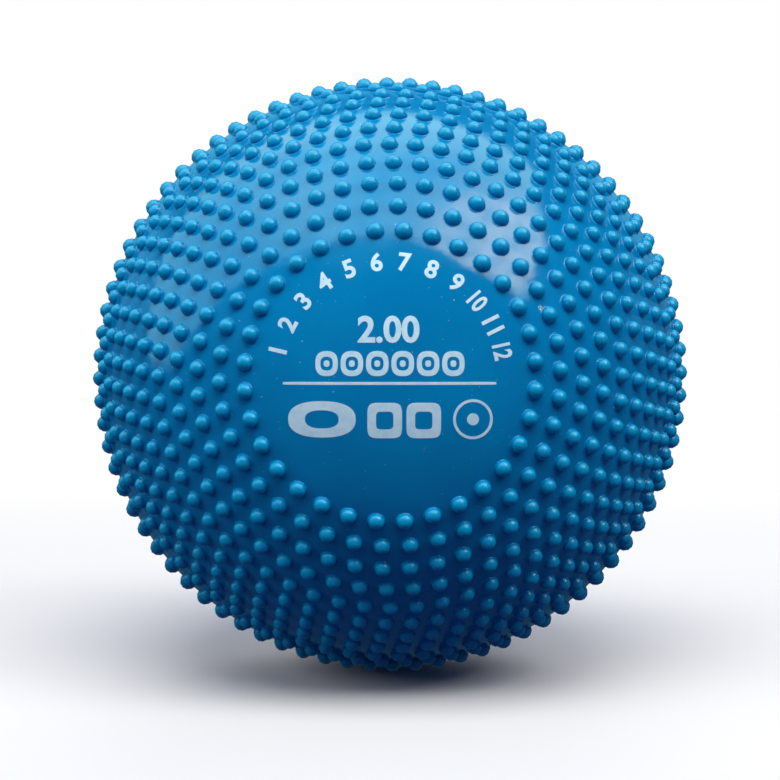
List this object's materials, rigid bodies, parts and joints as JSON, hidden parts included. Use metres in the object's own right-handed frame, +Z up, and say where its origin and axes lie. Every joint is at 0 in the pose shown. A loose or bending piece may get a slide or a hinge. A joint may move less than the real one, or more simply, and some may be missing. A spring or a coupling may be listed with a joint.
{
  "type": "soft shot put",
  "caption": "Soft nubbed training shot: a hollow moulded ball with a bald patch on two sides, a plugged filler hole and loose sand inside.",
  "frame": {"origin": "centre of the ball", "axes": "-Y out of the bald patch that takes the print, +Y out of the filler plug, +Z up"},
  "size_m": [0.1498, 0.1455, 0.1498],
  "materials": {
    "blue_pvc": "gloss",
    "plug_pvc": "satin",
    "sand": "matte"
  },
  "bodies": {
    "root": {"shell": "blue_pvc", "filler_plug": "plug_pvc", "sand_fill": "sand"}
  },
  "joints": []
}
